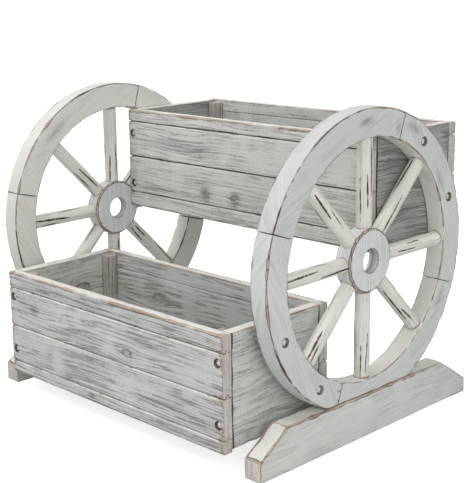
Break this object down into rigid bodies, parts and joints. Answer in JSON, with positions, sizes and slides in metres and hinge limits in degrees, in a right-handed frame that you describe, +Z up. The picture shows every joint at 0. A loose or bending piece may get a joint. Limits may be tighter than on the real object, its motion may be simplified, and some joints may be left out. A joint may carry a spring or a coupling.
{
  "type": "flower cart stand",
  "caption": "Two-tier flower cart stand: a low front planter box and a raised back planter box carried between two decorative spoked wagon wheels on long wooden feet.",
  "frame": {"origin": "on the ground, in the middle of the stand's length and depth", "axes": "+X along the boxes to the right wheel, -Y to the front where the lower box is, +Z up"},
  "size_m": [0.624, 0.528, 0.512],
  "materials": {
    "painted_boards": "matte distressed white-grey paint with dark grain streaks and tan worn edges",
    "painted_rims": "matte distressed white-grey paint with tan worn edges",
    "painted_spokes": "matte cream-white paint with long dark cracks",
    "painted_hubs": "matte white-grey paint with a tan worn edge",
    "painted_feet": "matte distressed white-grey paint with tan worn edges",
    "inner_wood": "matte thin wash over bare wood",
    "screws": "dark bronze satin"
  },
  "bodies": {
    "root": {"lower_box_front_board_1": "painted_boards", "lower_box_front_board_2": "painted_boards", "lower_box_front_board_3": "painted_boards", "lower_box_front_board_4": "painted_boards", "lower_box_back_board_1": "painted_boards", "lower_box_back_board_2": "painted_boards", "lower_box_back_board_3": "painted_boards", "lower_box_back_board_4": "painted_boards", "lower_box_left_end": "painted_boards", "lower_box_right_end": "painted_boards", "lower_box_floor": "inner_wood", "lower_box_front_left_post": "inner_wood", "lower_box_front_right_post": "inner_wood", "lower_box_back_left_post": "inner_wood", "lower_box_back_right_post": "inner_wood", "upper_box_front_board_1": "painted_boards", "upper_box_front_board_2": "painted_boards", "upper_box_front_board_3": "painted_boards", "upper_box_front_board_4": "painted_boards", "upper_box_back_board_1": "painted_boards", "upper_box_back_board_2": "painted_boards", "upper_box_back_board_3": "painted_boards", "upper_box_back_board_4": "painted_boards", "upper_box_left_end": "painted_boards", "upper_box_right_end": "painted_boards", "upper_box_floor": "inner_wood", "upper_box_front_left_post": "inner_wood", "upper_box_front_right_post": "inner_wood", "upper_box_back_left_post": "inner_wood", "upper_box_back_right_post": "inner_wood", "left_wheel_felloe_1": "painted_rims", "left_wheel_felloe_2": "painted_rims", "left_wheel_felloe_3": "painted_rims", "left_wheel_felloe_4": "painted_rims", "left_wheel_spoke_1": "painted_spokes", "left_wheel_spoke_2": "painted_spokes", "left_wheel_spoke_3": "painted_spokes", "left_wheel_spoke_4": "painted_spokes", "left_wheel_spoke_5": "painted_spokes", "left_wheel_spoke_6": "painted_spokes", "left_wheel_spoke_7": "painted_spokes", "left_wheel_spoke_8": "painted_spokes", "left_wheel_hub": "painted_hubs", "left_foot": "painted_feet", "right_wheel_felloe_1": "painted_rims", "right_wheel_felloe_2": "painted_rims", "right_wheel_felloe_3": "painted_rims", "right_wheel_felloe_4": "painted_rims", "right_wheel_spoke_1": "painted_spokes", "right_wheel_spoke_2": "painted_spokes", "right_wheel_spoke_3": "painted_spokes", "right_wheel_spoke_4": "painted_spokes", "right_wheel_spoke_5": "painted_spokes", "right_wheel_spoke_6": "painted_spokes", "right_wheel_spoke_7": "painted_spokes", "right_wheel_spoke_8": "painted_spokes", "right_wheel_hub": "painted_hubs", "right_foot": "painted_feet", "lower_box_pegs": "inner_wood", "screws": "screws"}
  },
  "joints": []
}
